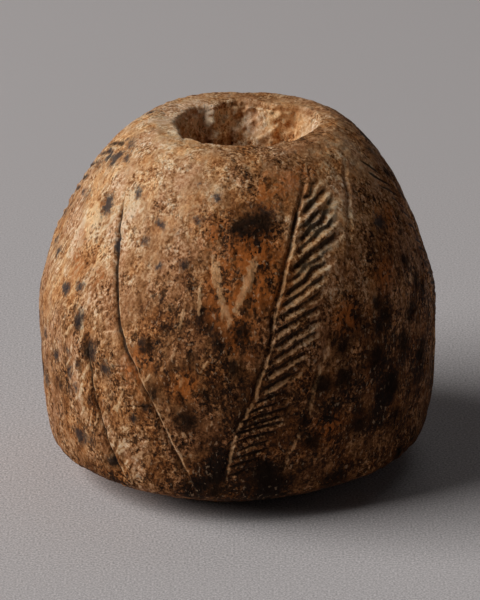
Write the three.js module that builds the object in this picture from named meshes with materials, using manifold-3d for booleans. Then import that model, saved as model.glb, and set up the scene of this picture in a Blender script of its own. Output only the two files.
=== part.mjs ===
// A clay spindle whorl: a hand-formed beehive weight with a hole down its middle for the spindle.
// Six feather bands are cut into its side in a zigzag: two edge grooves with short slanting cuts between.
// Millimetres, +Z up. The origin is under the middle of the whorl, on the surface that it stands on.
// Azimuths are in degrees, counted from the front (-Y) towards the right (+X).
import * as THREE from "three";
import { mergeVertices } from "three/addons/utils/BufferGeometryUtils.js";
import Module from "manifold-3d";

// The body, turned from two quarter arcs that meet at the belly, on a base that domes down to a small flat.
const bodyHeight = 28;
const bellyDiameter = 31;
const bellyHeight = 12.8;
const footDiameter = 27.9;
const footHeight = 2.3;
const footRoundness = 1.6;
const restDiameter = 16;
const baseRoundness = 1.4;
const crownRoundness = 1.55;
const crownLean = 0.64;

// The hand-formed unevenness: each is a share of the radius, with the azimuth that it points to.
const footSkew = { share: 0.03, towards: 138 };
const footSquash = { share: -0.041, towards: 26 };
const bellyLobes = { share: 0.024, towards: -12 };
const shoulderSquash = { share: 0.05, towards: 38 };

// The spindle hole, with its worn mouth.
const boreDiameter = 7;
const boreOffset = 0.4;
const boreFootChamfer = 0.6;
const mouthFlare = 1.6;
const mouthDepth = 5.2;
const mouthOffset = 0.9;
const lipRound = 0.45;
const crownLand = 1.8;
const chippedCorners = [
  { out: 0.5, towards: -62, spread: 26 },
  { out: 0.4, towards: 12, spread: 16 },
  { out: 0.5, towards: 112, spread: 26 },
  { out: -0.7, towards: 155, spread: 18 },
];
const wallRidge = { inward: 0.5, towards: 157, spread: 14 };
const wornSlope = { towards: 92, spread: 52, straightness: 1.05 };
const steepWall = 0.42;

const boreRadius = boreDiameter / 2;
const mouthRadius = boreRadius + mouthFlare;
const crownRadius = mouthRadius + crownLand;

// The grooves.
const edgeWidth = 0.46;
const edgeDepth = 0.27;
const cutWidth = 0.4;
const cutDepth = 0.21;
const cutPitch = 1.15;
const cutReach = 0.79;
const edgeGap = 0.12;
const cutRiseAtFoot = 0.26;
const cutRiseAtCrown = 0.5;

// How a band runs up the side: the azimuth of its middle at four shares of the body's height, and its width.
const stations = [0.143, 0.464, 0.786, 0.939];
const leansLeft = { middle: [5.3, 15.2, 26.8, 42], widthAtFoot: 5, widthAtCrown: 4.9, side: 1 };
const leansRight = { middle: [-24.5, -36, -56, -66], widthAtFoot: 5.4, widthAtCrown: 2.5, side: -1 };
const bands = [
  { ...leansLeft, turn: 0, lean: 1 },
  { ...leansRight, turn: 0, lean: 1 },
  { ...leansRight, turn: 127, lean: 0.92 },
  { ...leansLeft, turn: 126, lean: 0.7 },
  { ...leansRight, turn: -126, lean: 0.72 },
  { ...leansLeft, turn: -126, lean: 0.89 },
];
const bandFoot = 0.115;
const bandCrown = 0.949;

// How finely the surface is cut into faces.
const columns = 44;
const baseRows = 4;
const footRows = 6;
const sideRows = 8;
const flareRows = 3;
const edgeSteps = 9;
const cutSteps = 2;

const radians = THREE.MathUtils.degToRad;
const smooth = (t) => THREE.MathUtils.smoothstep(t, 0, 1);
const lobe = (azimuth, { share, towards }, count) => share * Math.cos(count * radians(azimuth - towards));

// 1 at the middle of a feature and falling to 0 on either side of it.
function near(azimuth, { towards, spread }) {
  const off = THREE.MathUtils.euclideanModulo(azimuth - towards + 180, 360) - 180;
  return Math.exp(-((off / spread) ** 2));
}

// How far a height is below the belly, towards the foot's edge, and above it, each from 0 to 1.
const belowBelly = (z) => THREE.MathUtils.clamp((bellyHeight - z) / (bellyHeight - footHeight), 0, 1);
const aboveBelly = (z) => THREE.MathUtils.clamp((z - bellyHeight) / (bodyHeight - bellyHeight), 0, 1);
const quarterArc = (t, roundness) => Math.pow(Math.max(0, 1 - Math.pow(t, roundness)), 1 / roundness);

function bodyRadius(azimuth, z) {
  const low = belowBelly(z);
  const high = aboveBelly(z);
  const inner = low > 0 ? footDiameter / 2 : crownRadius;
  const arc = low > 0 ? quarterArc(low, footRoundness) : quarterArc(high, crownRoundness);
  let round = inner + (bellyDiameter / 2 - inner) * arc;
  if (z < footHeight) {
    const dome = Math.pow(z / footHeight, 1 / baseRoundness);
    round = THREE.MathUtils.lerp(restDiameter / 2, footDiameter / 2, dome);
  }
  const footShare = smooth(low);
  const crownShare = smooth(high);
  const uneven =
    footShare * (lobe(azimuth, footSkew, 1) + lobe(azimuth, footSquash, 2)) +
    (1 - footShare) * (1 - crownShare) * lobe(azimuth, bellyLobes, 3) +
    4 * crownShare * (1 - crownShare) * lobe(azimuth, shoulderSquash, 2);
  return round * (1 + uneven);
}

const bodyCentre = (z) => crownLean * smooth(aboveBelly(z));
const polar = (centreX, radius, azimuth, z) =>
  new THREE.Vector3(centreX + radius * Math.sin(radians(azimuth)), -radius * Math.cos(radians(azimuth)), z);
const onBody = (azimuth, z) => polar(bodyCentre(z), bodyRadius(azimuth, z), azimuth, z);

// The radius of the mouth's rim, and of the wall below it at a share of the way down to the bore.
const rimRadius = (azimuth) =>
  mouthRadius + chippedCorners.reduce((sum, corner) => sum + corner.out * near(azimuth, corner), 0);
function flareRadius(azimuth, down) {
  const straight = THREE.MathUtils.lerp(steepWall, wornSlope.straightness, near(azimuth, wornSlope));
  const ridge = wallRidge.inward * near(azimuth, wallRidge) * Math.sin(Math.PI * Math.min(1, down));
  return boreRadius + (rimRadius(azimuth) - boreRadius) * Math.pow(1 - down, straight) - ridge;
}

// One upright slice of the whorl as a closed line: out over the base, up the side, over the crown
// and down the hole.
function slice(azimuth) {
  const points = [];
  for (let i = 0; i < baseRows; i++) {
    points.push(onBody(azimuth, footHeight * Math.pow(i / baseRows, baseRoundness)));
  }
  for (let i = 0; i < footRows; i++) {
    const z = bellyHeight - (bellyHeight - footHeight) * Math.cos((i / footRows) * (Math.PI / 2));
    points.push(onBody(azimuth, z));
  }
  for (let i = 0; i <= sideRows; i++) {
    const z = bellyHeight + (bodyHeight - bellyHeight) * Math.sin((i / sideRows) * (Math.PI / 2));
    points.push(onBody(azimuth, z));
  }
  const rim = rimRadius(azimuth);
  const lipSagitta = lipRound * (1 - Math.SQRT1_2);
  points.push(polar(mouthOffset, rim + lipRound, azimuth, bodyHeight));
  points.push(polar(mouthOffset, rim + lipSagitta, azimuth, bodyHeight - lipSagitta));
  for (let i = 0; i <= flareRows; i++) {
    const down = i / flareRows;
    const z = bodyHeight - lipRound - down * (mouthDepth - lipRound);
    const centreX = THREE.MathUtils.lerp(mouthOffset, boreOffset, down);
    points.push(polar(centreX, flareRadius(azimuth, down), azimuth, z));
  }
  points.push(polar(boreOffset, boreRadius, azimuth, boreFootChamfer));
  points.push(polar(boreOffset, boreRadius + boreFootChamfer, azimuth, 0));
  return points;
}

function indexed(positions, triangles) {
  const geometry = new THREE.BufferGeometry();
  geometry.setAttribute("position", new THREE.BufferAttribute(positions, 3));
  return geometry.setIndex(triangles);
}

// A closed body from rings of points, each ring joined to the next and the last one to the first if it loops.
function skin(rings, loops) {
  const size = rings[0].length;
  const triangles = [];
  const joins = loops ? rings.length : rings.length - 1;
  for (let i = 0; i < joins; i++) {
    const next = (i + 1) % rings.length;
    for (let j = 0; j < size; j++) {
      const [a, b] = [i * size + j, i * size + ((j + 1) % size)];
      const [c, d] = [next * size + j, next * size + ((j + 1) % size)];
      triangles.push(a, c, b, b, c, d);
    }
  }
  if (!loops) {
    const last = (rings.length - 1) * size;
    for (let j = 1; j < size - 1; j++) {
      triangles.push(0, j, j + 1, last, last + j + 1, last + j);
    }
  }
  const positions = new Float32Array(rings.flat().flatMap((point) => point.toArray()));
  return indexed(positions, triangles);
}

const wasm = await Module();
wasm.setup();

// Between three.js geometry and solids, turned face out.
function toSolid(geometry) {
  const merged = mergeVertices(geometry, 1e-4);
  const triVerts = new Uint32Array(merged.index.array);
  const vertProperties = merged.attributes.position.array;
  const solid = new wasm.Manifold(new wasm.Mesh({ numProp: 3, vertProperties, triVerts }));
  if (solid.volume() > 0) return solid;
  for (let i = 0; i < triVerts.length; i += 3) {
    [triVerts[i + 1], triVerts[i + 2]] = [triVerts[i + 2], triVerts[i + 1]];
  }
  return new wasm.Manifold(new wasm.Mesh({ numProp: 3, vertProperties, triVerts }));
}
function toGeometry(solid) {
  const { vertProperties, triVerts, numProp, numVert } = solid.getMesh();
  const positions = new Float32Array(numVert * 3);
  for (let i = 0; i < numVert; i++) {
    positions.set(vertProperties.subarray(i * numProp, i * numProp + 3), i * 3);
  }
  return indexed(positions, new THREE.BufferAttribute(new Uint32Array(triVerts), 1));
}

// The way out of the body at a point on its side.
function outward(azimuth, z) {
  const across = onBody(azimuth + 1, z).sub(onBody(azimuth - 1, z));
  const up = onBody(azimuth, z + 0.1).sub(onBody(azimuth, z - 0.1));
  return across.cross(up).normalize();
}

// A groove's cutter: a V-shaped bar that follows the side through places given as azimuth and height.
function grooveCutter(places, width, depth) {
  const points = places.map(([azimuth, z]) => onBody(azimuth, z));
  const rings = places.map(([azimuth, z], i) => {
    const out = outward(azimuth, z);
    const [before, after] = [points[Math.max(i - 1, 0)], points[Math.min(i + 1, points.length - 1)]];
    const along = after.clone().sub(before).normalize();
    const aside = new THREE.Vector3().crossVectors(along, out).normalize().multiplyScalar(width);
    const atEnd = i === 0 || i === places.length - 1;
    const bottom = points[i].clone().addScaledVector(out, atEnd ? -depth / 3 : -depth);
    const over = points[i].clone().addScaledVector(out, depth);
    return [bottom, over.clone().add(aside), over.clone().sub(aside)];
  });
  return toSolid(skin(rings, false));
}

// The middle of a band at a height: a cubic through its four stations.
function bandMiddle(band, z) {
  const share = z / bodyHeight;
  const weight = (own) => {
    const others = stations.filter((other) => other !== own);
    return others.reduce((term, other) => (term * (share - other)) / (own - other), 1);
  };
  const azimuth = band.middle.reduce((sum, value, i) => sum + value * weight(stations[i]), 0);
  return band.turn + band.middle[0] + (azimuth - band.middle[0]) * band.lean;
}

// A place in a band: across runs from 0 at its edge inside the V to 1 at its outer edge.
function inBand(band, across, z) {
  const share = z / bodyHeight;
  const width = THREE.MathUtils.lerp(band.widthAtFoot, band.widthAtCrown, share);
  const aside = THREE.MathUtils.radToDeg(((across - 0.5) * width) / bodyRadius(bandMiddle(band, z), z));
  return [bandMiddle(band, z) + band.side * aside, z];
}

function bandCutters(band) {
  const [low, high] = [bandFoot * bodyHeight, bandCrown * bodyHeight];
  const cutters = [0, 1].map((edge) => {
    const step = (high - low) / (edgeSteps - 1);
    const places = Array.from({ length: edgeSteps }, (_, i) => inBand(band, edge, low + i * step));
    return grooveCutter(places, edgeWidth, edgeDepth);
  });
  const width = (band.widthAtFoot + band.widthAtCrown) / 2;
  const start = edgeGap / width;
  for (let z = low + cutPitch / 2; z < high - cutPitch; z += cutPitch) {
    const rise = THREE.MathUtils.lerp(cutRiseAtFoot, cutRiseAtCrown, z / bodyHeight) * width;
    const places = Array.from({ length: cutSteps + 1 }, (_, i) => {
      const across = THREE.MathUtils.lerp(start, cutReach, i / cutSteps);
      return inBand(band, across, Math.min(z + rise * across, bodyHeight * bandCrown));
    });
    cutters.push(grooveCutter(places, cutWidth, cutDepth));
  }
  return cutters;
}

function makeWhorl() {
  const slices = Array.from({ length: columns }, (_, i) => slice((i * 360) / columns));
  const plain = toSolid(skin(slices, true));
  const carved = bands.flatMap(bandCutters).reduce((body, cutter) => body.subtract(cutter), plain);
  const geometry = toGeometry(carved);
  geometry.computeBoundingBox();
  const middle = geometry.boundingBox.getCenter(new THREE.Vector3());
  geometry.translate(-middle.x, -middle.y, -geometry.boundingBox.min.z);
  const clay = new THREE.MeshStandardMaterial({ color: 0x7a5334, roughness: 0.62, metalness: 0 });
  const whorl = new THREE.Mesh(geometry, clay);
  whorl.name = "whorl";
  return whorl;
}

const spindleWhorl = new THREE.Group();
spindleWhorl.name = "clay_spindle_whorl";
spindleWhorl.add(makeWhorl());

export default spindleWhorl;
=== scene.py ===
import math

import bpy
import numpy as np
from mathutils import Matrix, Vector


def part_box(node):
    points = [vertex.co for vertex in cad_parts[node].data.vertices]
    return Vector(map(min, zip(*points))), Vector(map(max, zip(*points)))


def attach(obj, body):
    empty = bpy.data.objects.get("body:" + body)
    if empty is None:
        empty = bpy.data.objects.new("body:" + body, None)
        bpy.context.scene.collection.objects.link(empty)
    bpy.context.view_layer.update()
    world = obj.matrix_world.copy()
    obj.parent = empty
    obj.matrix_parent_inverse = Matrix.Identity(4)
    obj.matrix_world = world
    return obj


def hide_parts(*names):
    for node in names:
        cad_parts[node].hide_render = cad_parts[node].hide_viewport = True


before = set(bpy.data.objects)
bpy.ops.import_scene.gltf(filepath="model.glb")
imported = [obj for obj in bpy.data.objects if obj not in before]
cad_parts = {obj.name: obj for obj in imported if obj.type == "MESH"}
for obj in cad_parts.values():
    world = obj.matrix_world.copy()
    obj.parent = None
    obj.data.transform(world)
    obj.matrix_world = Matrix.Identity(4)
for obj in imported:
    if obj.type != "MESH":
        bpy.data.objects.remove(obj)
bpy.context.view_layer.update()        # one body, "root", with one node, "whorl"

mm = 0.001
low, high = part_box("whorl")

# Azimuths are degrees from the front (-Y) towards the right (+X), heights and lengths are millimetres


# Camera

view = {
    "lookAt": (0.19, 0.30, 13.24),   # mm, a little below the middle of the whorl
    "distance": 300,                 # mm
    "elevation": 22,                 # degrees that it looks down by
    "lens": 230.4,                   # mm on a 36 mm sensor
}


def makeCamera():
    camera = bpy.data.objects.new("camera", bpy.data.cameras.new("camera"))
    bpy.context.scene.collection.objects.link(camera)
    tilt = math.radians(view["elevation"])
    target = Vector(view["lookAt"]) * mm
    away = Vector((0, -math.cos(tilt), math.sin(tilt)))
    camera.location = target + away * view["distance"] * mm
    camera.rotation_euler = away.to_track_quat("Z", "Y").to_euler()
    camera.data.lens = view["lens"]
    camera.data.clip_start = 0.01
    camera.data.clip_end = 20
    bpy.context.scene.camera = camera


makeCamera()
print("camera set")


def addNode(tree, kind, inputs=None, **settings):
    # a shader node with its settings, each input either linked to another node's output or set to a value
    node = tree.nodes.new("ShaderNode" + kind)
    for name, value in settings.items():
        setattr(node, name, value)
    for name, value in (inputs or {}).items():
        if hasattr(value, "links"):
            tree.links.new(value, node.inputs[name])
        else:
            node.inputs[name].default_value = value
    return node


# Light and floor, in metres and watts

studio = {
    "keyAzimuth": -78, "keyElevation": 38, "keyDistance": 1.0, "keySize": (0.75, 0.7), "keyPower": 9.6,
    "keyColor": (1.0, 0.985, 0.97),
    "topAzimuth": 150, "topElevation": 62, "topDistance": 1.0, "topSize": (0.6, 0.6), "topPower": 0.45,
    "topColor": (1, 1, 1),
    "ambient": 0.002, "ambientColor": (0.95, 0.97, 1),
    "floorColor": (0.60, 0.570, 0.572), "floorRoughness": 0.85, "floorSpecular": 0.2,
    "floorRings": (0.02, 0.1, 0.4, 1.6),     # the last one is where the floor starts to bend up
    "bendRadius": 0.9, "wallTop": 2.4, "sides": 96,
    # the floor's grain shows near the whorl and softens away from it
    "grainScale": 6000, "grainNear": 0.015, "grainFar": 0.075, "grainNearShare": 2.3, "grainFarShare": 0.1,
}


def aimedLight(name):
    # an area light of the studio, aimed at the whorl
    lamp = bpy.data.lights.new(name, "AREA")
    lamp.shape = "RECTANGLE"
    lamp.size, lamp.size_y = studio[name + "Size"]
    lamp.energy = studio[name + "Power"]
    lamp.color = studio[name + "Color"]
    holder = bpy.data.objects.new(name, lamp)
    bpy.context.scene.collection.objects.link(holder)
    a, e = math.radians(studio[name + "Azimuth"]), math.radians(studio[name + "Elevation"])
    away = Vector((math.sin(a) * math.cos(e), -math.cos(a) * math.cos(e), math.sin(e)))
    holder.location = away * studio[name + "Distance"]
    holder.rotation_euler = away.to_track_quat("Z", "Y").to_euler()


def makeFloorMaterial():
    material = bpy.data.materials.new("floorGrey")
    material.use_nodes = True
    tree = material.node_tree
    shader = tree.nodes["Principled BSDF"]
    shader.inputs["Roughness"].default_value = studio["floorRoughness"]
    shader.inputs["Specular IOR Level"].default_value = studio["floorSpecular"]
    place = addNode(tree, "TexCoord").outputs["Object"]
    noise = {"Vector": place, "Scale": studio["grainScale"], "Detail": 3, "Roughness": 0.65}
    grain = addNode(tree, "TexNoise", noise).outputs["Fac"]
    away = addNode(tree, "VectorMath", {0: place}, operation="LENGTH").outputs["Value"]
    fading = {"Value": away, "From Min": studio["grainNear"], "From Max": studio["grainFar"],
              "To Min": studio["grainNearShare"], "To Max": studio["grainFarShare"]}
    share = addNode(tree, "MapRange", fading).outputs["Result"]
    centred = addNode(tree, "Math", {0: grain, 1: 0.5}, operation="SUBTRACT").outputs["Value"]
    scaled = addNode(tree, "Math", {0: centred, 1: share}, operation="MULTIPLY").outputs["Value"]
    value = addNode(tree, "Math", {0: scaled, 1: 1}, operation="ADD").outputs["Value"]
    grey = {0: 1, 6: (*studio["floorColor"], 1), 7: value}
    color = addNode(tree, "Mix", grey, data_type="RGBA", blend_type="MULTIPLY").outputs[2]
    tree.links.new(color, shader.inputs["Base Color"])
    return material


def makeFloor():
    # a round floor that bends up into a wall far behind, so that no view has an edge
    flat, bend, sides = studio["floorRings"][-1], studio["bendRadius"], studio["sides"]
    profile = [(radius, 0) for radius in studio["floorRings"]]
    for t in np.linspace(0.2, math.pi / 2, 9):
        profile.append((flat + bend * math.sin(t), bend * (1 - math.cos(t))))
    profile.append((flat + bend, studio["wallTop"]))
    verts = [(0, 0, 0)]
    faces = []
    for radius, height in profile:
        for i in range(sides):
            turn = 2 * math.pi * i / sides
            verts.append((radius * math.cos(turn), radius * math.sin(turn), height))
    for i in range(sides):
        faces.append((0, 1 + i, 1 + (i + 1) % sides))
    for ring in range(len(profile) - 1):
        for i in range(sides):
            a, b = 1 + ring * sides + i, 1 + ring * sides + (i + 1) % sides
            faces.append((a, a + sides, b + sides, b))
    mesh = bpy.data.meshes.new("floor")
    mesh.from_pydata(verts, [], faces)
    mesh.shade_smooth()
    floor = bpy.data.objects.new("floor", mesh)
    bpy.context.scene.collection.objects.link(floor)
    floor.data.materials.append(makeFloorMaterial())


def makeStudio():
    makeFloor()
    aimedLight("key")
    aimedLight("top")
    world = bpy.data.worlds.new("studio")
    world.use_nodes = True
    background = world.node_tree.nodes["Background"]
    background.inputs["Color"].default_value = (*studio["ambientColor"], 1)
    background.inputs["Strength"].default_value = studio["ambient"]
    bpy.context.scene.world = world
    bpy.context.scene.view_settings.view_transform = "Standard"


makeStudio()
print("studio set")


# The whorl's form: a beehive turned from two quarter arcs, with the unevenness of a thing made by hand

form = {
    "height": (high[2] - low[2]) / mm,
    "bellyRadius": 15.5, "bellyHeight": 12.8,
    "footRadius": 13.95, "footHeight": 2.3, "footRoundness": 1.6,
    "restRadius": 8, "baseRoundness": 1.4,     # the small flat that it stands on, and the dome around it
    "crownRadius": 6.9, "crownRoundness": 1.55, "crownLean": 0.64,
    # share of the radius, and where it points
    "footSkew": (0.03, 138), "footSquash": (-0.041, 26), "bellyLobes": (0.024, -12),
    "shoulderSquash": (0.05, 38),
    "edgeSoftness": 0.9, "edgeReach": 0.7,     # how far up and how strongly the foot's edge is rounded off
}

hole = {
    "boreRadius": 3.5, "boreOffset": 0.4, "footChamfer": 0.6,
    "mouthDepth": 5.2, "mouthOffset": 0.9, "lipRound": 0.4, "steepWall": 0.42,
    # the mouth's chipped rim, as azimuth and radius
    "rim": [(-178, 5.1), (-167, 5.0), (-146, 4.5), (-134, 5.35), (-112, 5.2), (-91, 5.5), (-73, 5.3),
            (-56, 5.75), (-46, 5.35), (-26, 5.4), (0, 5.2), (6, 5.0), (12, 5.5), (28, 5.35), (55, 5.1),
            (80, 5.45), (104, 5.65), (131, 5.4), (146, 4.4), (160, 4.45), (170, 4.9)],
    "ridge": (0.5, 157, 14),          # inward in the back wall, where it is, how many degrees it spreads
    "slope": (1.05, 92, 52),          # how straight the worn slope is on the right, where it is, its spread
    "wornShare": 0.75,                # the smooth part of the worn slope, as a share of its spread
}

# How many points the first, finest mesh has; it is thinned afterwards where the surface is plain
grain = {
    "columns": 1150, "sideRows": 400, "crownRows": 26, "lipRows": 8, "wallRows": 60, "boreRows": 40,
    "underRows": 30, "triangles": 196000,
}


def smooth(t):
    return t * t * (3 - 2 * t)


def near(azimuth, towards, spread):
    # 1 at one azimuth, fading to 0 away from it
    off = (azimuth - towards + 180) % 360 - 180
    return np.exp(-((off / spread) ** 2))


def lobe(azimuth, part, count):
    share, towards = form[part]
    return share * np.cos(count * np.radians(azimuth - towards))


def bodyRadius(azimuth, z):
    belly, top = form["bellyHeight"], form["height"]
    below = np.clip((belly - z) / (belly - form["footHeight"]), 0, 1)
    above = np.clip((z - belly) / (top - belly), 0, 1)
    foot = (1 - below ** form["footRoundness"]) ** (1 / form["footRoundness"])
    crown = (1 - above ** form["crownRoundness"]) ** (1 / form["crownRoundness"])
    base = np.clip(z / form["footHeight"], 0, 1) ** (1 / form["baseRoundness"])
    lower = form["footRadius"] + (form["bellyRadius"] - form["footRadius"]) * foot
    lower = lower - (form["footRadius"] - form["restRadius"]) * (1 - base)
    upper = form["crownRadius"] + (form["bellyRadius"] - form["crownRadius"]) * crown
    footShare, crownShare = smooth(below), smooth(above)
    uneven = footShare * (lobe(azimuth, "footSkew", 1) + lobe(azimuth, "footSquash", 2))
    uneven = uneven + (1 - footShare) * (1 - crownShare) * lobe(azimuth, "bellyLobes", 3)
    uneven = uneven + 4 * crownShare * (1 - crownShare) * lobe(azimuth, "shoulderSquash", 2)
    return np.where(z < belly, lower, upper) * (1 + uneven)


def bodyCentre(z):
    # the crown leans a little to the right
    above = np.clip((z - form["bellyHeight"]) / (form["height"] - form["bellyHeight"]), 0, 1)
    return form["crownLean"] * smooth(above)


def ring(centreX, radius, azimuth, z):
    turn = np.radians(azimuth)
    return np.stack([centreX + radius * np.sin(turn), -radius * np.cos(turn), z + 0 * radius], axis=-1)


def onBody(azimuth, z):
    return ring(bodyCentre(z), bodyRadius(azimuth, z), azimuth, z)


def rimRadius(azimuth):
    places, radii = zip(*hole["rim"])
    return np.interp(azimuth, places, radii, period=360)


def wallRadius(azimuth, down):
    # the mouth's wall, from the rim at 0 down to the bore at 1
    straight, towards, spread = hole["slope"]
    power = hole["steepWall"] + (straight - hole["steepWall"]) * near(azimuth, towards, spread)
    inward, towards, spread = hole["ridge"]
    bore = hole["boreRadius"]
    wall = bore + (rimRadius(azimuth) - bore) * (1 - down) ** power
    return wall - inward * near(azimuth, towards, spread) * math.sin(math.pi * down)


def rubbedSlope(azimuth):
    # the part of the mouth's wall that is rubbed smooth
    towards, spread = hole["slope"][1:]
    return near(azimuth, towards, spread * hole["wornShare"])


def softenEdge(rings, heights):
    # rounds off the foot's edge, by averaging each ring there with its neighbours
    sharp = [ring.copy() for ring in rings]
    reach = int(form["edgeReach"] * len(rings) / 36)      # the side is about 36 mm long
    for i, z in enumerate(heights):
        share = math.exp(-(((z - form["footHeight"]) / form["edgeSoftness"]) ** 2))
        if share > 0.01 and i > reach:
            rings[i] = sharp[i] * (1 - share) + share * np.mean(sharp[i - reach:i + reach + 1], axis=0)


def sideHeights():
    # the heights of the side's rings, spaced evenly along its outline
    top, belly, foot = form["height"], form["bellyHeight"], form["footHeight"]
    fine = np.linspace(0, 1, 2001)
    heights = np.concatenate([foot * fine ** form["baseRoundness"],
                              belly - (belly - foot) * np.cos(fine * math.pi / 2),
                              belly + (top - belly) * np.sin(fine * math.pi / 2)])
    outline = onBody(np.full(heights.shape, -30.0), heights)
    length = np.concatenate([[0], np.cumsum(np.linalg.norm(np.diff(outline, axis=0), axis=1))])
    return np.interp(np.linspace(0, length[-1], grain["sideRows"] + 1), length, heights)


def bodyRings(azimuth):
    # every ring of the closed skin, from the foot up the side, over the crown, down the hole and back under,
    # with the place that each has: side, crown, wall, bore or under
    top = form["height"]
    heights = sideHeights()
    rings = [onBody(azimuth, z + 0 * azimuth) for z in heights]
    places = ["side"] * len(rings)
    softenEdge(rings, heights)
    rim, lip, shift = rimRadius(azimuth), hole["lipRound"], hole["mouthOffset"]
    edge = ring(shift, rim + lip, azimuth, top)
    for t in np.linspace(0, 1, grain["crownRows"] + 1)[1:]:
        rings.append(rings[grain["sideRows"]] * (1 - t) + edge * t)
        places.append("crown")
    for t in np.linspace(0, math.pi / 2, grain["lipRows"] + 1)[1:]:
        rings.append(ring(shift, rim + lip * (1 - math.sin(t)), azimuth, top - lip * (1 - math.cos(t))))
        places.append("crown")
    for down in (np.linspace(0, 1, grain["wallRows"] + 1)[1:]) ** 0.9:
        z = top - lip - down * (hole["mouthDepth"] - lip)
        centre = shift + (hole["boreOffset"] - shift) * down
        rings.append(ring(centre, wallRadius(azimuth, down), azimuth, z))
        places.append("wall")
    bore, chamfer = hole["boreRadius"], hole["footChamfer"]
    for t in np.linspace(0, 1, grain["boreRows"] + 1)[1:]:
        z = (top - hole["mouthDepth"]) * (1 - t) + chamfer * t
        rings.append(ring(hole["boreOffset"], bore + 0 * azimuth, azimuth, z))
        places.append("bore")
    inner = ring(hole["boreOffset"], bore + chamfer + 0 * azimuth, azimuth, 0)
    for t in np.linspace(0, 1, grain["underRows"])[:-1]:
        rings.append(inner * (1 - t) + rings[0] * t)
        places.append("under")
    return np.array(rings), np.array(places)


def cloud(points, size, seed):
    # smooth random values, about -1 to 1, in lumps of the given size
    table = np.random.default_rng(seed).random((48, 48, 48)) * 2 - 1
    spot = points / np.asarray(size) + 11.7
    cell = np.floor(spot).astype(int)
    part = smooth(spot - cell)
    total = 0
    for corner in np.ndindex(2, 2, 2):
        weight = np.prod([part[..., k] if c else 1 - part[..., k] for k, c in enumerate(corner)], axis=0)
        i, j, k = np.moveaxis((cell + corner) % 48, -1, 0)
        total = total + weight * table[i, j, k]
    return total


# The carving: feather bands, each two edge grooves with slanting cuts between them

carving = {
    "edgeWidth": 0.52, "edgeDepth": 0.26, "edgeTaper": 2.0,
    "frontEdges": 1.1, "otherEdges": 0.9,       # how wide the edges are, in front and elsewhere
    "cutWidth": 0.42, "cutDepth": 0.09, "cutPitch": 1.1, "cutTaper": 0.8,
    "gougeWidth": 0.85, "gougeDepth": 0.13,      # the broader cuts high on the left-leaning bands
    "gougeFrom": 16.5, "broadFrom": 0.6,         # their lowest height, and the width from which a cut is broad
    "burr": 0.035,                               # the raised lip along a groove
    "cutsFrom": 4.2, "cutsTo": 25.4, "cutTop": 26.6,
}

# Each edge is azimuth, height and how deep it still is after wear, from the foot up
bandLeft = {
    "darkAbove": 23.4,
    "inner": [(-3.5, 4, 0.7), (-1.5, 7, 1), (0, 8.9, 1), (4.5, 11.2, 1), (8.6, 14.8, 1), (9.8, 16.2, 1),
              (10.3, 18.2, 1), (14.5, 21.3, 1.1), (19, 23.8, 1.1), (21.5, 24.6, 0.9), (31, 27, 0.3)],
    "outer": [(14, 4.6, 0.7), (17, 7, 0.9), (21, 9.8, 0.9), (23.5, 13, 0.8), (27, 15.5, 0.5),
              (30, 18, 0.35), (37, 21.5, 0.4), (43, 24, 0.7), (50, 26, 0.7), (57, 26.7, 0.4)],
}
bandRight = {
    "darkAbove": 14,
    "inner": [(-12.5, 2.3, 0.6), (-15, 4.6, 1), (-18.5, 7.2, 1), (-22, 9.6, 1), (-25.5, 11.6, 1),
              (-29.5, 13.7, 1), (-33.5, 14.9, 1), (-39.5, 17.3, 1.1), (-44, 19.3, 1.2), (-49.5, 22, 0.9),
              (-55, 25, 0.4)],
    "outer": [(-35.5, 2.5, 0.9), (-39, 4.6, 1), (-41.2, 7, 1), (-44.5, 10, 1), (-46.5, 13, 1),
              (-48.5, 15.2, 0.5), (-52, 17.5, 0.3), (-58, 20, 0.35), (-63.5, 23.3, 0.8), (-69, 24.8, 0.5)],
}

# kind, turned by, how much of the lean it keeps, whether its cuts are listed below
bands = [
    (bandLeft, 0, 1, True), (bandRight, 0, 1, True), (bandRight, 127, 0.92, False),
    (bandLeft, 126, 0.7, False), (bandRight, -126, 0.72, False), (bandLeft, -126, 0.89, False),
]

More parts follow.
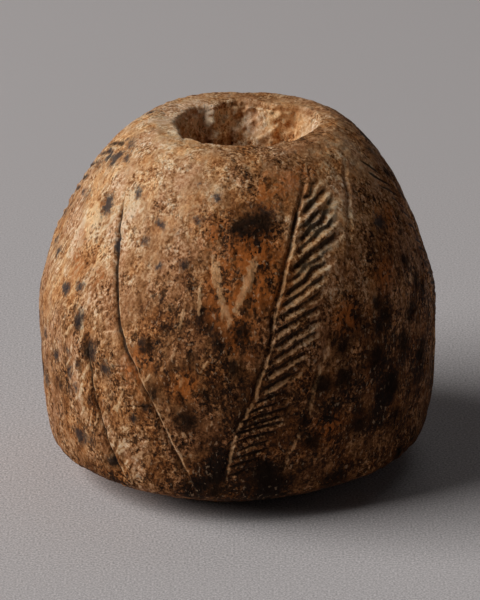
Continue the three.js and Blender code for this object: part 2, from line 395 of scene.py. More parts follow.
# the cuts of the two bands in front: from azimuth, height to azimuth, height, with width and depth
frontCuts = [
    (-2.5, 4.5, 8, 5.4, 0.42, 0.24), (-1.5, 6, 11.5, 7, 0.42, 0.26), (-1, 7.5, 13, 8.5, 0.42, 0.26),
    (-1, 8.2, 15, 9.3, 0.44, 0.26), (0, 9.3, 17, 10.5, 0.46, 0.27), (5, 10.9, 15, 11.9, 0.4, 0.2),
    (7, 11.9, 20, 13.5, 0.62, 0.22), (8, 13, 22, 14.9, 0.64, 0.24), (9, 14.2, 25, 16.2, 0.62, 0.22),
    (10, 15.3, 26, 17.2, 0.66, 0.24), (10.5, 16.3, 27, 18.3, 0.62, 0.22),
    (11.5, 17.4, 27, 19.3, 0.66, 0.26), (12.5, 18.3, 29, 20.4, 0.62, 0.2), (14, 19.1, 31, 21.4, 0.72, 0.3),
    (15, 20, 33, 22.1, 0.64, 0.22), (16, 20.8, 37, 23, 0.85, 0.36), (18, 21.8, 36, 23.8, 0.66, 0.24),
    (19, 22.5, 37, 24.4, 0.8, 0.34), (20.5, 23.4, 40, 25, 0.68, 0.26), (22, 24.2, 39, 25.6, 0.75, 0.3),
    (24, 25.1, 37, 26.2, 0.62, 0.2), (-2, 5.3, 9, 6.2, 0.34, 0.2), (0, 6.8, 12, 7.7, 0.34, 0.2),
    (0, 8.7, 15, 9.8, 0.34, 0.2), (3, 10.1, 16, 11.2, 0.34, 0.2), (-16.5, 4.4, -24, 4.1, 0.34, 0.1),
    (-19, 6.1, -28, 5.8, 0.34, 0.12), (-20, 7.5, -30, 7, 0.34, 0.14), (-22, 8.7, -33, 8, 0.34, 0.12),
    (-24, 10.2, -35, 9.6, 0.34, 0.13), (-27, 11.8, -36, 11.2, 0.34, 0.12),
    (-30, 13.2, -38, 12.6, 0.36, 0.14), (-33, 14.4, -42, 13.6, 0.36, 0.14),
    (-37, 15.7, -45, 14.9, 0.36, 0.15), (-40, 17, -49, 15.8, 0.36, 0.13),
    (-43, 18.4, -52, 17.2, 0.34, 0.12), (-46, 19.8, -54, 18.4, 0.34, 0.12),
    (-48.5, 21.2, -57, 19.8, 0.34, 0.14), (-51, 22.6, -60, 21.2, 0.34, 0.14),
    (-53, 23.9, -63, 22.6, 0.34, 0.12),
]


def edgeAt(kind, edge, turn, lean, z):
    azimuths, heights, _ = np.array(kind[edge]).T
    foot = kind["inner"][0][0]
    return turn + foot + (np.interp(z, heights, azimuths) - foot) * lean


def closestPlaces(points, path, azimuths, lengths):
    # for each point, how far it is from the path, how far along the path, and how far to the path's lit side
    best = np.full(len(points), np.inf)
    along, across = np.zeros(len(points)), np.zeros(len(points))
    for i in range(len(path) - 1):
        step = path[i + 1] - path[i]
        t = np.clip((points - path[i]) @ step / (step @ step), 0, 1)
        apart = points - path[i] - t[:, None] * step
        gap = np.linalg.norm(apart, axis=1)
        # the side of the groove that turns to the light: on its right, or below it
        turn = np.radians(azimuths[i])
        out = np.array([math.sin(turn), -math.cos(turn), 0.25])
        aside = np.cross(step, out) / np.linalg.norm(step)
        aside *= np.sign(aside @ np.array([math.cos(turn), math.sin(turn), -1]))
        closer = gap < best
        best = np.where(closer, gap, best)
        across = np.where(closer, apart @ aside, across)
        along = np.where(closer, lengths[i] + t * (lengths[i + 1] - lengths[i]), along)
    return best, along, across


def carve(surface, line, width, depth, wear, burr, endTaper, light, bottomDirtAndShade):
    # cuts one groove along a line of (azimuth, height) places into the flat arrays of the side's points;
    # wear, light and the last argument, each one number or one for each place, say how deep the groove still
    # is, how pale its lit lip is (wear and a painted highlight) and how dark its bottom is (dirt and painted
    # shade)
    line = np.array(line, float)
    path = onBody(*line.T)
    lengths = np.concatenate([[0], np.cumsum(np.linalg.norm(np.diff(path, axis=0), axis=1))])
    reach = width * 1.6
    nearby = (surface["at"] > path.min(axis=0) - reach) & (surface["at"] < path.max(axis=0) + reach)
    chosen = np.nonzero(np.all(nearby, axis=1))[0]
    best, along, across = closestPlaces(surface["at"][chosen], path, line[:, 0], lengths)

    def spread(values):
        return np.interp(along, lengths, np.broadcast_to(values, lengths.shape))

    half = width / 2
    taper = spread(wear) * np.clip(np.minimum(along, lengths[-1] - along) / endTaper, 0, 1) ** 0.6
    dirtAndShadeLevel = taper * spread(bottomDirtAndShade)
    if width > carving["broadFrom"]:      # a round bottom, with painted shade on its side away from the light
        profile = np.clip(1 - (best / half) ** 2, 0, 1)
        dirtAndShadeLevel = dirtAndShadeLevel * np.clip(0.55 - 0.9 * across / half, 0, 1)
    else:
        profile = smooth(np.clip(1 - best / half, 0, 1)) ** 0.8
    lip = burr * taper * np.exp(-(((best - half * 1.25) / (half * 0.35)) ** 2))
    # the pale lip on the side turned to the light: wear, and a painted highlight
    wearAndHighlight = np.minimum(taper, 1) * spread(light) * np.exp(-(((across - half * 0.75) / (half * 0.55)) ** 2))
    fields = {"cut": depth * taper * profile, "lip": lip, "wearAndHighlight": wearAndHighlight, "dirtAndShade": dirtAndShadeLevel * profile}
    for name, value in fields.items():
        surface[name][chosen] = np.maximum(surface[name][chosen], value)


def wobble(line, amount, rng):
    # a hand-cut line wanders a little
    line = np.array(line, float)
    line[1:-1] += rng.normal(0, amount, line[1:-1].shape) * (1.5, 0.6)
    return line


def carveEdge(surface, band, edge, rng):
    kind, turn, lean, listed = band
    places = np.array(kind[edge])
    z = np.linspace(places[0, 1], places[-1, 1], 26)
    wear = np.interp(z, places[:, 1], places[:, 2]) * rng.uniform(0.8, 1.1, z.shape)
    line = wobble(np.stack([edgeAt(kind, edge, turn, lean, z), z], axis=1), 0.08, rng)
    width = carving["edgeWidth"] * carving["frontEdges" if listed else "otherEdges"]
    # an inner edge is darker high up, and its lit lip paler lower down, worn and with a painted highlight
    darkShare = smooth(np.clip((z - kind["darkAbove"]) / 2 + 0.5, 0, 1)) * (edge == "inner")
    light = (1.35 - 0.4 * darkShare) * rng.uniform(0.6, 1.1, z.shape)
    bottomDirtAndShade = 0.9 if kind is bandRight and edge == "outer" else 0.55 + 0.45 * darkShare
    carve(surface, line, width, carving["edgeDepth"], wear * (0.95 + 0.15 * darkShare), carving["burr"],
          carving["edgeTaper"], light, bottomDirtAndShade)


def carveCuts(surface, band, rng):
    # the slanting cuts of a band, from its foot up
    kind, turn, lean, _ = band
    z = carving["cutsFrom"]
    while z < carving["cutsTo"]:
        share = z / form["height"]
        rise = (0.26 + 0.28 * share) * 5 * rng.uniform(0.85, 1.15)
        start, end = rng.uniform(0.05, 0.12), rng.uniform(0.72, 0.95)
        line = []
        for t in np.linspace(start, end, 5):
            at = min(z + rise * t + 0.12 * math.sin(math.pi * t), carving["cutTop"])
            inner, outer = (edgeAt(kind, edge, turn, lean, at) for edge in ("inner", "outer"))
            line.append((inner + (outer - inner) * t, at))
        gouge = smooth(np.clip((z - carving["gougeFrom"] + 1.5) / 3, 0, 1)) if kind is bandLeft else 0
        width = carving["cutWidth"] + (carving["gougeWidth"] - carving["cutWidth"]) * gouge
        depth = carving["cutDepth"] + (carving["gougeDepth"] - carving["cutDepth"]) * gouge
        carve(surface, line, width, depth * rng.uniform(0.6, 1.1), 1, carving["burr"] * 0.6,
              carving["cutTaper"], 0.8, 1)
        z += carving["cutPitch"] * rng.uniform(0.85, 1.15) * (1 + 0.15 * gouge)


# How the cuts listed above look: the wander of their lines, burr, pale lit lip (wear and a painted highlight)
# and dark bottom (dirt and painted shade)
cutLooks = {
    "broad": {"wander": 0.15, "burr": 1.6, "light": 1.9, "bottomDirtAndShade": 1.5},
    "fineLeft": {"wander": 0.05, "burr": 0.8, "light": 1.1, "bottomDirtAndShade": 0.15},
    "fineRight": {"wander": 0.05, "burr": 0.8, "light": 0.8, "bottomDirtAndShade": 1.3},
}


def carveFrontCuts(surface, rng):
    for fromAzimuth, fromZ, toAzimuth, toZ, width, depth in frontCuts:
        fine = "fineLeft" if toAzimuth < 0 else "fineRight"
        look = cutLooks["broad" if width > carving["broadFrom"] else fine]
        t = np.linspace(0, 1, 6)
        line = np.stack([fromAzimuth + (toAzimuth - fromAzimuth) * t,
                         fromZ + (toZ - fromZ) * t + 0.13 * np.sin(math.pi * t)], axis=1)
        wear = np.linspace(1, 0.7, 6) * rng.uniform(0.8, 1.1, 6)
        light = look["light"] * rng.uniform(0.45, 1.15, 6)
        carve(surface, wobble(line, look["wander"], rng), width, depth, wear, carving["burr"] * look["burr"],
              carving["cutTaper"], light, look["bottomDirtAndShade"])


# The skin of the whorl, with its roughness, and what the material needs to know kept on its points

skin = {
    "flats": 0.08, "dents": 0.1, "ripple": 0.06, "fibre": 0.05, "pits": 0.13,
    "wallRough": 0.5, "boreRough": 0.08, "wornSmooth": 0.85,
}


def meshFromRings(name, rings):
    count, columns = rings.shape[:2]
    index = np.arange(count * columns).reshape(count, columns)
    right, up = np.roll(index, -1, axis=1), np.roll(index, -1, axis=0)
    both = np.roll(up, -1, axis=1)
    quads = np.stack([index, right, both, up], axis=-1).reshape(-1, 4)
    mesh = bpy.data.meshes.new(name)
    mesh.vertices.add(count * columns)
    mesh.vertices.foreach_set("co", rings.reshape(-1).astype(np.float32))
    mesh.loops.add(quads.size)
    mesh.loops.foreach_set("vertex_index", quads.reshape(-1).astype(np.int32))
    mesh.polygons.add(len(quads))
    mesh.polygons.foreach_set("loop_start", np.arange(0, quads.size, 4, dtype=np.int32))
    mesh.polygons.foreach_set("loop_total", np.full(len(quads), 4, dtype=np.int32))
    mesh.update(calc_edges=True)
    return mesh


def ringNormals(rings):
    around = np.roll(rings, -1, axis=1) - np.roll(rings, 1, axis=1)
    onward = np.roll(rings, -1, axis=0) - np.roll(rings, 1, axis=0)
    normals = np.cross(around, onward)
    return normals / np.maximum(np.linalg.norm(normals, axis=-1, keepdims=True), 1e-9)


def keep(mesh, name, values):
    attribute = mesh.attributes.new(name, "FLOAT", "POINT")
    attribute.data.foreach_set("value", np.ascontiguousarray(values, dtype=np.float32).reshape(-1))


def carveSide(rings, side, rng):
    # every groove and stroke on the side, as fields with one value for each of its points
    surface = {"at": rings[side].reshape(-1, 3)}
    for name in ("cut", "lip", "wearAndHighlight", "pale", "dirtAndShade"):
        surface[name] = np.zeros(len(surface["at"]))
    for band in bands:
        carveEdge(surface, band, "inner", rng)
        carveEdge(surface, band, "outer", rng)
        if not band[3]:
            carveCuts(surface, band, rng)
    carveFrontCuts(surface, rng)
    paintStrokes(surface)
    print("bands carved")
    return surface


def skinRelief(rings, places, azimuth):
    # how far each point stands out of the plain form, apart from the carving
    outer = np.isin(places, ("side", "crown"))[:, None] * np.clip(rings[..., 2] / 0.4, 0, 1)
    dents = skin["flats"] * cloud(rings, 9, 10) + skin["dents"] * cloud(rings, 5.5, 11)
    dents += skin["ripple"] * cloud(rings, 1.9, 12)
    fibre = skin["fibre"] * (cloud(rings, (0.45, 0.45, 2.2), 13) + 0.6 * cloud(rings, (0.22, 0.22, 0.9), 14))
    pits = skin["pits"] * np.clip(cloud(rings, 0.5, 15) - 0.3, 0, 1) * 1.5
    wall, bore = (places == "wall")[:, None], (places == "bore")[:, None]
    rough = 0.22 * cloud(rings, 1.5, 16) + 0.4 * cloud(rings, 0.7, 17) + 0.5 * cloud(rings, 0.35, 18)
    offset = outer * (dents + fibre - pits)
    offset += wall * skin["wallRough"] * rough * (1 - skin["wornSmooth"] * rubbedSlope(azimuth))
    offset += bore * skin["boreRough"] * cloud(rings, 1.2, 19)
    return offset


def makeWhorl():
    rng = np.random.default_rng(5)
    azimuth = -180 + 360 * np.arange(grain["columns"]) / grain["columns"]
    rings, places = bodyRings(azimuth)
    middle = (rings.reshape(-1, 3).min(axis=0) + rings.reshape(-1, 3).max(axis=0)) / 2
    side, shape = places == "side", rings.shape[:2]
    surface = carveSide(rings, side, rng)

    def onSide(values):
        field = np.zeros(shape)
        field[side] = values.reshape(-1, shape[1])
        return field

    offset = onSide(surface["lip"] - surface["cut"]) + skinRelief(rings, places, azimuth)
    offset[places == "under"] = 0
    finished = rings + ringNormals(rings) * offset[..., None]
    finished[..., :2] -= middle[:2]
    finished = np.clip(finished, np.array(low) / mm, np.array(high) / mm)

    mesh = meshFromRings("claySkin", finished * mm)
    # the dark in the grooves, dirt and painted shade, goes to the material as the cut field
    keep(mesh, "cut", onSide(surface["dirtAndShade"]))
    # the pale field: scratches, and the lit lips' wear with their painted highlight
    keep(mesh, "pale", onSide(np.maximum(surface["pale"], surface["wearAndHighlight"])))
    azimuths = np.broadcast_to(azimuth, shape)
    for name, values in zip(("tone", "spots", "warm", "fibrous"), paintClay(rings, azimuths, places, rng)):
        keep(mesh, name, values)
    keep(mesh, "inside", np.broadcast_to(np.isin(places, ("wall", "bore"))[:, None], shape).astype(float))
    whorl = bpy.data.objects.new("carvedWhorl", mesh)
    bpy.context.scene.collection.objects.link(whorl)
    print("skin made with", len(mesh.polygons), "faces")

    thin = whorl.modifiers.new("thin", "DECIMATE")
    thin.ratio = grain["triangles"] / (2 * len(mesh.polygons))
    bpy.context.view_layer.objects.active = whorl
    bpy.ops.object.modifier_apply(modifier=thin.name)
    whorl.data.shade_smooth()
    print("skin thinned to", len(whorl.data.polygons), "faces")
    return whorl


# What the clay looks like where: places are azimuth, height and radius

paint = {
    # how light the clay is around the whorl, from 0 near black to 1 cream, and what the height adds
    "toneAround": [(-150, 0.56), (-110, 0.64), (-75, 0.73), (-50, 0.68), (-28, 0.56), (-8, 0.405),
                   (15, 0.385), (40, 0.41), (80, 0.42), (115, 0.48), (160, 0.54)],
    "toneUp": [(0, -0.12), (3, -0.1), (6, -0.04), (14, 0), (22, 0.08), (26.5, 0.2), (28, 0.26)],
    # the mouth's wall around: darker on its front and front-left, where it turns from the key light, as painted
    # shade
    "wallTone": [(-165, 1.12), (-140, 1.14), (-120, 0.95), (-60, 0.76), (0, 0.7), (60, 0.9), (100, 1.0),
                 (130, 0.98), (160, 0.97)],
    # darker deeper down the mouth, and the bore dark: painted shade in the hole
    "wallDepth": [(22.8, -0.5), (24.6, -0.24), (26, -0.02), (27.6, 0.02)],
    "wallMottle": 0.27, "boreTone": 0.3,
    # lighter and darker patches, with how much they change the tone; the first two, on the upper left, paint a
    # highlight
    "patches": [(-68, 21.4, 1.3, 0.5), (-65, 21, 3, 0.02), (0, 20, 2.6, -0.1), (-9, 17.6, 1.6, -0.12),
                (3, 19.2, 1, -0.12), (-3, 15.6, 1.2, -0.1), (-20, 17, 3, -0.08), (-24, 14, 2, -0.1),
                (-50, 21.5, 1.4, 0.12), (-14, 23.5, 4.5, 0.13), (4, 24, 2.2, -0.2), (26, 22.3, 3, 0.13),
                (40, 23.6, 1.5, 0.2), (38, 26.2, 2, 0.16), (60, 26.5, 2.5, 0.1), (-8, 4, 3, -0.12),
                (10, 4, 3.2, -0.2), (38, 12, 4, -0.14), (55, 9, 4, -0.14), (-60, 9, 4, -0.06),
                (-30, 5, 3, 0.08), (56, 24.5, 2.5, 0.12), (-30, 17, 3.5, 0.06), (-5, 10, 3, -0.08),
                (30, 25.5, 3, 0.1), (-10, 26.8, 3.5, 0.08)],
    # the near-black spots on the front, and how many stand elsewhere, from which azimuth to which
    "spots": [(-0.9, 14, 0.75), (1.2, 16.7, 0.8), (7, 24.3, 1.2), (1, 23.9, 0.8), (-2, 23.6, 0.5),
              (-25.9, 15.1, 0.6), (-13.1, 9.5, 0.85), (-23.2, 11.6, 0.5), (-24.8, 10.3, 0.5),
              (-46.6, 24.9, 0.45), (-31.2, 23.4, 0.5), (-34.9, 22.1, 0.4), (-48.5, 21.1, 0.5),
              (-62, 23.3, 0.8), (-59.3, 17.3, 0.5), (-65.7, 16.5, 0.6), (-53.5, 15.2, 0.7),
              (-46, 13.4, 0.85), (-39, 12.6, 0.7), (-51.3, 11.9, 0.5), (-57.7, 12.3, 0.4),
              (-65.7, 11.1, 0.6), (-56.6, 10.7, 0.5), (-53.5, 9.8, 0.5), (-62.5, 9.1, 0.5),
              (-57.2, 9.1, 0.4), (-46.6, 9.3, 0.5), (-53.5, 5.6, 0.8), (-5.7, 4.6, 0.7), (-5.7, 3.1, 0.6),
              (10, 4.5, 1.3), (54.8, 22.3, 0.85), (63.3, 15.2, 0.9), (62.8, 19.1, 0.6), (32.5, 12.1, 0.9),
              (26, 12, 0.8), (45.3, 13, 0.8), (45.3, 17.3, 0.6), (32.5, 14.7, 0.7), (52.7, 10, 1),
              (24, 7.3, 0.8), (-19.5, 17.9, 0.35), (-11, 14.9, 0.4), (-15.2, 19.8, 0.4),
              (-20.5, 26.3, 0.3), (-16.3, 24, 0.35), (-8.9, 12, 0.5), (40, 7.5, 0.9), (58, 13, 0.8),
              (-76, 26, 0.7), (-86, 25.6, 0.5), (-68, 26.4, 0.45), (-112, 27.8, 0.5), (-21, 16.6, 0.4),
              (-24, 18.6, 0.35), (-19, 21, 0.4), (-27, 20.6, 0.35), (-10, 25.6, 0.35), (-30, 9.2, 0.5),
              (-40, 4.4, 0.7), (-47, 5.5, 0.5), (50, 16, 0.6), (70, 11, 0.9), (68, 17, 0.7),
              (38, 16.6, 0.6), (57, 7, 0.8)],
    "scattered": 190, "scatteredRadius": (0.25, 0.95), "scatteredFrom": 80, "scatteredTo": 285,
    # where the clay looks fibrous
    "fibrous": [(-62, 21, 5), (-55, 17, 4.5), (-46, 12, 4), (-38, 7, 4), (-30, 4, 4), (-75, 18, 4),
                (-48, 20, 3.5), (-20, 8, 3), (25, 22, 5), (20, 16, 4)],
    # orange-red tints
    "warm": [(3.5, 21.6, 3.1), (0, 19.2, 3), (7, 20, 2.6), (2, 16.4, 1.8), (16, 26.2, 1.6),
             (26, 26.4, 1.6), (-52, 18.4, 1.3), (-8, 23, 1.6), (11, 25.6, 1.4), (34, 17, 1.6),
             (-30, 12.6, 1.3), (-68, 20.5, 1.2), (60, 22.5, 1.6), (-28, 14, 1.5), (-66, 18.5, 1.6),
             (28, 8, 1.6), (-14, 12.5, 1.6), (50, 19, 1.6)],
    # pale scratches, from azimuth, height to azimuth, height, with width
    "scars": [(-8.4, 21.6, -5.6, 19.6, 0.85), (-6.8, 20.4, -3.2, 17.8, 0.75), (-4, 19, -1.8, 17.2, 0.45),
              (5, 21.8, 2.2, 19.9, 0.8), (3, 20.5, -0.4, 18, 0.7), (5.5, 21.8, 3, 19.4, 0.45),
              (-16, 18, -16.5, 16.4, 0.4), (-15, 8.6, -14, 8.0, 0.4), (-12, 20, -11, 17.5, 0.35)],
    "scarStrength": 1.45,
    # areas of short pale strokes: azimuth, height, spread, how many, lean in degrees and length
    "strokes": [(-65, 22.6, 2.4, 26, 58, 1.9), (-62, 21, 1.6, 14, 58, 1.6), (-72, 19, 4, 26, 66, 1.8),
                (-49, 16, 2.6, 24, -58, 1.6), (-54, 18.5, 2.6, 18, 70, 1.6), (-42, 9.5, 3.2, 34, 62, 1.5),
                (-33, 6, 3.4, 40, 48, 1.4), (-52, 12, 3, 20, 66, 1.5), (-45, 24, 2.4, 22, 75, 1.4),
                (-20, 12, 4, 16, 75, 1), (33, 24, 2.2, 14, 38, 1.3), (100, 15, 9, 24, 70, 1.1),
                (160, 16, 10, 70, 65, 1.4), (-130, 15, 9, 70, 65, 1.5)],
    "strokeSeed": 8, "strokeRelief": 0.03,
    # how the painted places wander: by how much, in lumps of what size, with which seeds
    "warps": [(0.28, 0.9, (31, 32, 33)), (0.12, 0.35, (34, 35, 36))],
    "degreesPerMm": 3.8,      # around the belly
}


def strongest(points, places):
    # 1 in the middle of the nearest place and 0 at its edge and beyond; a place may have its own strength
    field = np.zeros(points.shape[:-1])
    flat, values = points.reshape(-1, 3), field.reshape(-1)
    for azimuth, z, radius, *strength in places:
        centre = onBody(azimuth, z)
        chosen = np.nonzero(np.all(np.abs(flat - centre) < radius, axis=1))[0]
        closeness = np.clip(1 - np.linalg.norm(flat[chosen] - centre, axis=-1) / radius, 0, 1)
        values[chosen] = np.maximum(values[chosen], closeness * (strength[0] if strength else 1))
    return field


def scatteredSpots(rng):
    places = []
    small, large = paint["scatteredRadius"]
    for _ in range(paint["scattered"]):
        z = 3 + 24 * rng.random() ** 0.8
        azimuth = rng.uniform(paint["scatteredFrom"], paint["scatteredTo"])
        places.append((azimuth, z, small + (large - small) * rng.random() ** 2))
    return places


def paintTone(rings, warped, azimuths, places):
    # how light the clay is, with painted shade in the mouth's wall and the bore, and a painted highlight on the
    # upper left
    around, tones = zip(*paint["toneAround"])
    tone = np.interp(azimuths, around, tones, period=360)
    heights, changes = zip(*paint["toneUp"])
    tone = tone + np.interp(rings[..., 2], heights, changes)

    wall = places == "wall"
    # the mouth's wall, darker where it turns from the key light: painted shade
    around, tones = zip(*paint["wallTone"])
    # darker deeper down, as painted shade in the hole, less so on the worn slope
    depths, changes = zip(*paint["wallDepth"])
    worn = rubbedSlope(azimuths[wall])
    deep = np.interp(rings[wall][..., 2], depths, changes) * (1 - 0.7 * worn)
    lumps = 0.4 * cloud(rings[wall], 0.8, 44) + 0.9 * cloud(rings[wall], 0.3, 45)
    tone[wall] = np.interp(azimuths[wall], around, tones, period=360) + deep
    tone[wall] += paint["wallMottle"] * lumps * (1 - 0.75 * worn)
    # the bore, dark as painted shade
    tone[places == "bore"] = paint["boreTone"]

    # the patches, of which the first two are a painted highlight on the upper left
    for azimuth, z, radius, change in paint["patches"]:
        apart = np.linalg.norm(warped - onBody(azimuth, z), axis=-1)
        tone += change * np.exp(-((apart / radius) ** 2))
    tone += 0.09 * cloud(rings, 4.5, 41) + 0.12 * cloud(warped, (1.6, 1.6, 2.4), 42)
    # dark blotches, more of them where the clay is darker
    blotch = smooth(np.clip(cloud(warped, (1.7, 1.7, 2.2), 43) * 1.6 - 0.1, 0, 1))
    return tone - 0.3 * blotch * np.clip(1.25 - 1.4 * tone, 0, 1)


def paintClay(rings, azimuths, places, rng):
    # the fields that the material reads, one value for each point
    warped = rings
    for amount, size, seeds in paint["warps"]:
        warped = warped + amount * np.stack([cloud(rings, size, seed) for seed in seeds], axis=-1)
    tone = paintTone(rings, warped, azimuths, places)
    # each spot is widened, because its edge is broken up by the grain; a small one is also weaker
    wide = [(azimuth, z, radius * 1.65, min(1, 0.72 + 0.4 * radius)) for azimuth, z, radius in paint["spots"]]
    wide += [(azimuth, z, radius * 1.6, rng.uniform(0.55, 1)) for azimuth, z, radius in scatteredSpots(rng)]
    spots = strongest(warped, wide)
    spots[places == "wall"] = 0
    warm = np.sqrt(strongest(warped, paint["warm"]))
    fibrous = np.sqrt(strongest(warped, paint["fibrous"]))
    return tone, spots, warm, fibrous


def paintLine(surface, start, end, width, strength):
    # one pale line, and a hint of relief along it
    ends = onBody(np.array([start[0], end[0]], float), np.array([start[1], end[1]], float))
    nearby = (surface["at"] > ends.min(axis=0) - width) & (surface["at"] < ends.max(axis=0) + width)
    chosen = np.nonzero(np.all(nearby, axis=1))[0]
    points = surface["at"][chosen]
    step = ends[1] - ends[0]
    t = np.clip((points - ends[0]) @ step / (step @ step), 0, 1)
    gap = np.linalg.norm(points - ends[0] - t[:, None] * step, axis=1) / (width / 2)
    value = strength * np.clip(1.3 - gap, 0, 1) * (1 - 0.5 * np.abs(2 * t - 1) ** 3)
    surface["pale"][chosen] = np.maximum(surface["pale"][chosen], value)
    surface["lip"][chosen] = np.maximum(surface["lip"][chosen], paint["strokeRelief"] * value)


def paintStrokes(surface):
    rng = np.random.default_rng(paint["strokeSeed"])
    around = paint["degreesPerMm"]
    for fromAzimuth, fromZ, toAzimuth, toZ, width in paint["scars"]:
        paintLine(surface, (fromAzimuth, fromZ), (toAzimuth, toZ), width, paint["scarStrength"])
    for azimuth, z, spread, count, lean, length in paint["strokes"]:
        for _ in range(count):
            spot = rng.normal(0, spread / 2, 2)
            reach = length * rng.uniform(0.5, 1.3) / 2
            turn = math.radians(lean + rng.normal(0, 9))
            across, up = reach * math.cos(turn) * around, reach * math.sin(turn)
            middle = (azimuth + spot[0] * around, z + spot[1])
            paintLine(surface, (middle[0] - across, middle[1] - up), (middle[0] + across, middle[1] + up),
                      rng.uniform(0.16, 0.3), rng.uniform(0.8, 1.25))


# The look of the clay: a ramp from its darkest to its palest colour, read by the tone with grain over it

clay = {
    "ramp": [(0.0, (0.010, 0.0045, 0.002)), (0.15, (0.040, 0.0145, 0.0045)), (0.3, (0.150, 0.057, 0.017)),
             (0.435, (0.33, 0.143, 0.050)), (0.57, (0.52, 0.268, 0.120)), (0.72, (0.71, 0.445, 0.240)),
             (0.9, (0.93, 0.72, 0.48))],
    "rampShare": 0.75,                              # where a tone of 1 lies on the ramp
    "yellower": (1.03, 0.9, 0.74), "redder": (1.0, 0.96, 1.0),
    "orange": (0.43, 0.120, 0.020),
    # the darkest colour here darkens the grooves' bottoms, as dirt and as painted shade
    "scratch": (0.57, 0.35, 0.170), "fleck": (0.60, 0.39, 0.23), "bottomDirtAndShade": (0.020, 0.010, 0.005),
    # in dark clay and in light clay
    "pit": ((0.040, 0.016, 0.006), (0.110, 0.055, 0.024)),
    # in light clay a spot is greyer: a painted sheen
    "spot": ((0.012, 0.006, 0.003), (0.050, 0.040, 0.040)),
    # how far each kind of grain changes the tone
    "streaks": 0.42, "streaksInside": 0.02, "fibres": 1.3, "mottle": 0.72, "grit": 0.95, "coarse": 0.32,
    "fine": 0.3, "scratchLift": 0.34,
    "fibreLean": 0.5, "leftNormal": (-0.848, -0.53, 0),      # radians, about the surface's normal on the left
    "gloss": (0.38, 0.56), "dullDark": 0.3, "dullSpots": 0.3, "dullInside": 0.25, "specular": 0.1,
    "bumpStrength": 0.55, "bumpDepth": 0.00015,
}


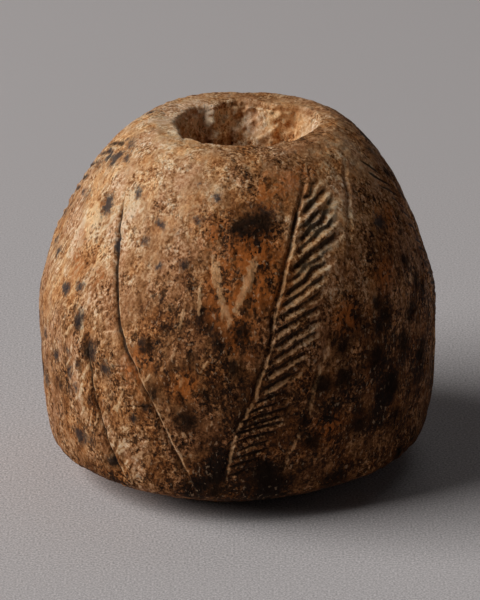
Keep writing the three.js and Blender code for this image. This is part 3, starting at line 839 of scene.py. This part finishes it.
def makeClay():
    material = bpy.data.materials.new("burnishedClay")
    material.use_nodes = True
    tree = material.node_tree
    shader = tree.nodes["Principled BSDF"]

    def field(name):
        return addNode(tree, "Attribute", attribute_name=name).outputs["Fac"]

    def maths(kind, first, second, clamp=False):
        return addNode(tree, "Math", {0: first, 1: second}, operation=kind, use_clamp=clamp).outputs["Value"]

    def plus(first, second, clamp=False):
        return maths("ADD", first, second, clamp)

    def minus(first, second):
        return maths("SUBTRACT", first, second)

    def times(first, second):
        return maths("MULTIPLY", first, second)

    def ranged(value, low, high, start=0.0, end=1.0, kind="SMOOTHSTEP"):
        inputs = {"Value": value, "From Min": low, "From Max": high, "To Min": start, "To Max": end}
        return addNode(tree, "MapRange", inputs, interpolation_type=kind).outputs["Result"]

    def blend(share, under, over, kind="MIX"):
        node = addNode(tree, "Mix", data_type="RGBA", blend_type=kind, clamp_factor=True)
        for index, value in ((0, share), (6, under), (7, over)):
            if hasattr(value, "links"):
                tree.links.new(value, node.inputs[index])
            else:
                node.inputs[index].default_value = (*value, 1)      # a plain colour
        return node.outputs[2]

    place = addNode(tree, "TexCoord").outputs["Object"]

    def stretched(scale, stretch, at):
        return addNode(tree, "Mapping", {"Vector": at, "Scale": [scale * s for s in stretch]}).outputs["Vector"]

    def noise(scale, stretch=(1, 1, 1), detail=2, roughness=0.5, at=place):
        inputs = {"Vector": stretched(scale, stretch, at), "Scale": 1, "Detail": detail, "Roughness": roughness}
        return addNode(tree, "TexNoise", inputs).outputs["Fac"]

    def grains(scale, stretch=(1, 1, 1)):
        # every small cell has its own random value
        inputs = {"Vector": stretched(scale, stretch, place), "Scale": 1}
        cells = addNode(tree, "TexVoronoi", inputs).outputs["Color"]
        return addNode(tree, "SeparateColor", {"Color": cells}).outputs[0]

    # scales are lumps to the metre
    streaks = noise(2400, (1, 1, 0.28), 3, 0.65)
    mottle = noise(1000, (1, 1, 0.6), 3, 0.6)
    grit = noise(5200, (1, 1, 0.75), 2, 0.6)
    pores = noise(3600, (1, 1, 0.6), 2, 0.55)
    hue = noise(380, (1, 1, 0.7), 3, 0.6)
    patches = noise(520, (1, 1, 0.8), 2, 0.6)
    coarse, fine = grains(3900, (1, 1, 0.7)), grains(7000)
    # the left band's fibres lean to the right, so their noise is turned about the surface's normal there
    lean = {"Vector": place, "Axis": clay["leftNormal"], "Angle": clay["fibreLean"]}
    fibres = noise(3300, (1, 1, 0.17), 2, 0.6, addNode(tree, "VectorRotate", lean).outputs["Vector"])

    # how light the clay is: its painted tone with streaks, fibres and mottling, and with grains that are
    # strong in some places and rubbed smooth in others
    tone, inside = field("tone"), field("inside")
    light = ranged(tone, 0.45, 0.75)      # 0 in dark clay and 1 in light clay
    streaky = minus(clay["streaks"], times(inside, clay["streaks"] - clay["streaksInside"]))
    fibrous = times(field("fibrous"), clay["fibres"])
    patchy = ranged(patches, 0.35, 0.65, 0.45, 1.35)
    for value, amount in ((streaks, streaky), (fibres, fibrous), (mottle, clay["mottle"])):
        tone = plus(tone, times(minus(value, 0.5), amount))
    for value, amount in ((grit, clay["grit"]), (coarse, clay["coarse"]), (fine, clay["fine"])):
        tone = plus(tone, times(times(minus(value, 0.5), amount), patchy))

    # scratches and the grooves' lit lips, worn pale and with a painted highlight, lift the tone, broken up by
    # the pores and the mottling
    broken = plus(times(minus(pores, 0.5), 2.0), times(minus(mottle, 0.5), 1.8))
    paleShare = ranged(plus(field("pale"), broken), 0.4, 1.05)
    lifted = times(plus(tone, times(paleShare, clay["scratchLift"])), clay["rampShare"])
    ramp = addNode(tree, "ValToRGB", {"Fac": lifted})
    elements = ramp.color_ramp.elements
    while len(elements) < len(clay["ramp"]):
        elements.new(0.5)
    for element, (position, color) in zip(elements, clay["ramp"]):
        element.position = position
        element.color = (*color, 1)
    color = ramp.outputs["Color"]
    color = blend(ranged(hue, 0.49, 0.6), color, clay["yellower"], "MULTIPLY")
    color = blend(ranged(hue, 0.49, 0.38), color, clay["redder"], "MULTIPLY")

    # orange tints, pits, pale scratches and flecks, the dark in the grooves (dirt and painted shade), and the
    # near-black spots over all, greyer in light clay as a painted sheen
    warmShare = times(field("warm"), ranged(plus(mottle, times(coarse, 0.3)), 0.52, 0.74, 0, 0.9))
    color = blend(warmShare, color, clay["orange"])
    pitted = times(ranged(pores, 0.455, 0.37, 0, 0.9), ranged(patches, 0.42, 0.6, 0.25, 1))
    pitted = times(pitted, minus(1, times(light, 0.35)))
    color = blend(pitted, color, blend(light, *clay["pit"]))
    color = blend(times(paleShare, 0.35), color, clay["scratch"])
    color = blend(ranged(pores, 0.62, 0.69, 0, 0.38), color, clay["fleck"])
    dirtAndShadeMask = ranged(plus(field("cut"), times(minus(mottle, 0.5), 1.5)), 0.22, 0.8, 0, 0.9)
    color = blend(dirtAndShadeMask, color, clay["bottomDirtAndShade"])
    edge = plus(minus(grit, 0.5), minus(mottle, 0.5))
    spotShare = ranged(plus(field("spots"), times(edge, 1.1)), 0.12, 0.74, 0, 0.93)
    color = blend(spotShare, color, blend(light, *clay["spot"]))
    tree.links.new(color, shader.inputs["Base Color"])

    # burnished where the clay is light, dull in the dark clay, on the spots and inside the hole
    dull = plus(times(ranged(tone, 0.75, 0.3), clay["dullDark"]), times(spotShare, clay["dullSpots"]))
    dull = plus(dull, times(inside, clay["dullInside"]))
    rough = plus(ranged(grit, 0.3, 0.7, *clay["gloss"], "LINEAR"), dull, True)
    tree.links.new(rough, shader.inputs["Roughness"])
    shader.inputs["Specular IOR Level"].default_value = clay["specular"]

    relief = plus(plus(times(grit, 0.5), times(coarse, 0.16)), times(pores, 0.9))
    inputs = {"Height": relief, "Strength": clay["bumpStrength"], "Distance": clay["bumpDepth"]}
    tree.links.new(addNode(tree, "Bump", inputs).outputs["Normal"], shader.inputs["Normal"])
    return material


whorl = makeWhorl()
whorl.data.materials.append(makeClay())
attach(whorl, "root")
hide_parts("whorl")
print("whorl finished")
